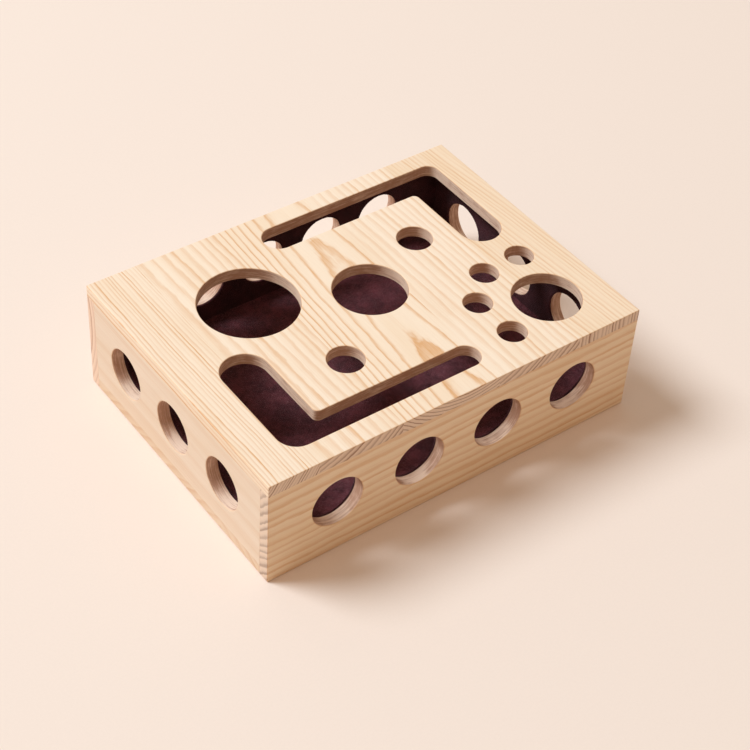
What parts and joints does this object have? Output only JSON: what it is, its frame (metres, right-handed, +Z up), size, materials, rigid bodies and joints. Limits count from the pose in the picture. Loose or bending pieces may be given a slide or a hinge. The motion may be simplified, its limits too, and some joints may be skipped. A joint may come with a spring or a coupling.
{
  "type": "pet puzzle feeder box",
  "caption": "Wooden puzzle feeder box: round holes and L-shaped slots in the top, round holes in all four sides, felt-lined chamber for treats.",
  "frame": {"origin": "on the table, under the middle of the box", "axes": "+X along the length, from the end that is left when the box is seen from its front, to the right; +Y from the front to the back; +Z up"},
  "size_m": [0.35, 0.258, 0.102],
  "materials": {
    "pine": "pale softwood, sanded, unvarnished",
    "plywood": "plain plywood",
    "felt": "dark plum felt, matt",
    "beech": "plain hardwood dowel"
  },
  "bodies": {
    "root": {"top_panel": "pine", "front_panel": "pine", "back_panel": "pine", "left_panel": "pine", "right_panel": "pine", "base_panel": "plywood", "floor_felt": "felt", "front_lining": "felt", "back_lining": "felt", "left_lining": "felt", "right_lining": "felt", "corner_dowels": "beech", "top_dowels": "beech"}
  },
  "joints": []
}
